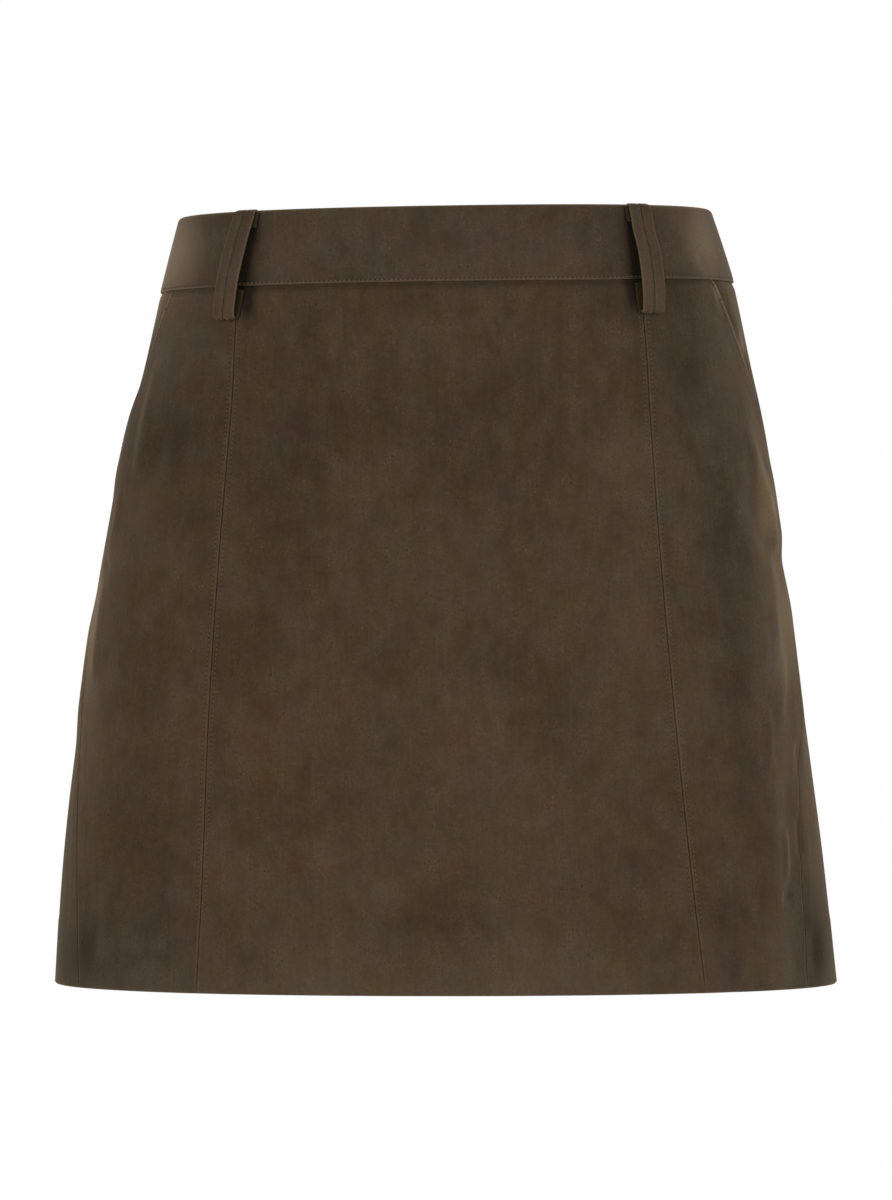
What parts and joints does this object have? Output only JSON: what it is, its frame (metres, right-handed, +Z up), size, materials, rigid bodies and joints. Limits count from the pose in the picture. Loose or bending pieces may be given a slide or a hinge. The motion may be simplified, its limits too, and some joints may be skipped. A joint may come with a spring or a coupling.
{
  "type": "faux suede mini skirt",
  "caption": "Short A-line skirt in dark brown suede-look cloth, filled out as worn: seamed panels, slanted pockets, belt loops, waistband and back zip.",
  "frame": {"origin": "the middle of the waistband's ring, halfway up the band, where the wearer's waist holds the skirt", "axes": "+Z up, the skirt's front faces -Y, and the wearer's left is +X"},
  "size_m": [0.3896, 0.268, 0.3871],
  "materials": {
    "brown_suede": "brushed suede-look cloth, dark brown, matt with a soft mottled nap",
    "waistband_suede": "the same brushed suede-look cloth, doubled, with edge stitching",
    "zip_tape_cloth": "woven dark brown zip tape with a closed coil",
    "zip_metal": "antique brown metal, worn brighter at its edges"
  },
  "bodies": {
    "skirt": {"front_panel": "brown_suede", "front_side_panel_left": "brown_suede", "front_side_panel_right": "brown_suede", "back_panel_left": "brown_suede", "back_panel_right": "brown_suede", "pocket_bearer_left": "brown_suede", "pocket_bearer_right": "brown_suede", "waistband_front": "waistband_suede", "waistband_back_left": "waistband_suede", "waistband_back_right": "waistband_suede", "belt_loop_front_left": "waistband_suede", "belt_loop_front_right": "waistband_suede", "belt_loop_back_left": "waistband_suede", "belt_loop_back_right": "waistband_suede", "zip_tape": "zip_tape_cloth", "zip_slider": "zip_metal"},
    "pull_tab": {"zip_pull": "zip_metal"}
  },
  "joints": [
    {"name": "pull_tab_swing", "type": "hinge", "parent": "skirt", "child": "pull_tab", "pos_m": [-0.00032, 0.09984, 0.01085], "axis": [1, 0, 0], "range_deg": [0, 170]}
  ]
}
